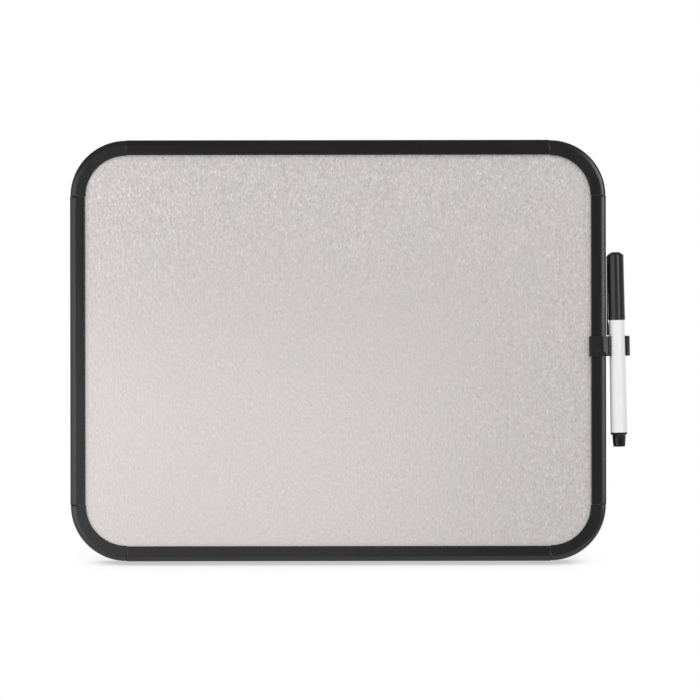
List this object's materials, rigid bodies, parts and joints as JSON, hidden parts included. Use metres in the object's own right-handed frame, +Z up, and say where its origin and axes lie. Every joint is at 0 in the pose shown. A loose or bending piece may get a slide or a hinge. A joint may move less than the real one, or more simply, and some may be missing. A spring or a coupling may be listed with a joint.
{
  "type": "desk whiteboard easel",
  "caption": "Magnetic dry-wipe board in a rounded black frame, leaning on a fold-out rear leg, with a capped marker held by a clip that slides on its right rail.",
  "frame": {"origin": "middle of the board's lower rear edge, where it stands on the desk", "axes": "+Z up, -Y to the front, where the writer sits, +X along the board to its right seen from the front"},
  "size_m": [0.3717, 0.1154, 0.2714],
  "materials": {
    "sheet_enamel": "glossy silver-grey dry-wipe coating with a fine raised grain, on steel",
    "fibreboard": "raw brown fibreboard",
    "backing_card": "grey card laminate",
    "frame_plastic": "satin black extrusion",
    "corner_plastic": "satin black moulding, slightly lighter than the rails",
    "easel_plastic": "fine-textured black moulding",
    "screw_steel": "bright zinc plate",
    "pin_steel": "drawn steel",
    "foot_rubber": "soft black rubber",
    "clip_plastic": "semi-gloss black moulding",
    "barrel_plastic": "glossy white",
    "plug_plastic": "glossy black",
    "cap_plastic": "satin black",
    "nib_felt": "pressed felt soaked with black ink",
    "reservoir_fibre": "fibre bundle in a film"
  },
  "bodies": {
    "board": {"writing_sheet": "sheet_enamel", "core_board": "fibreboard", "backing_sheet": "backing_card", "rail_top": "frame_plastic", "rail_bottom": "frame_plastic", "rail_left": "frame_plastic", "rail_right": "frame_plastic", "corner_top_left": "corner_plastic", "corner_top_right": "corner_plastic", "corner_bottom_left": "corner_plastic", "corner_bottom_right": "corner_plastic", "hinge_bracket": "easel_plastic", "bracket_screws": "screw_steel", "hinge_pin": "pin_steel"},
    "leg": {"easel_leg": "easel_plastic", "leg_foot": "foot_rubber"},
    "clip": {"marker_clip": "clip_plastic"},
    "marker": {"marker_barrel": "barrel_plastic", "marker_plug": "plug_plastic", "marker_section": "plug_plastic", "marker_nib": "nib_felt", "ink_reservoir": "reservoir_fibre"},
    "cap": {"marker_cap": "cap_plastic"}
  },
  "joints": [
    {"name": "leg_fold", "type": "hinge", "parent": "board", "child": "leg", "pos_m": [0, 0.05989, 0.18673], "axis": [1, 0, 0], "range_deg": [-28, 0]},
    {"name": "clip_slide", "type": "slide", "parent": "board", "child": "clip", "axis": [0, 0.2756, 0.9613], "range_m": [-0.07, 0.092]},
    {"name": "marker_pull", "type": "slide", "parent": "clip", "child": "marker", "axis": [0.4225, -0.869, 0.2576], "range_m": [0, 0.04]},
    {"name": "cap_pull", "type": "slide", "parent": "marker", "child": "cap", "axis": [-0.0192, 0.2756, 0.9611], "range_m": [0, 0.023]}
  ]
}
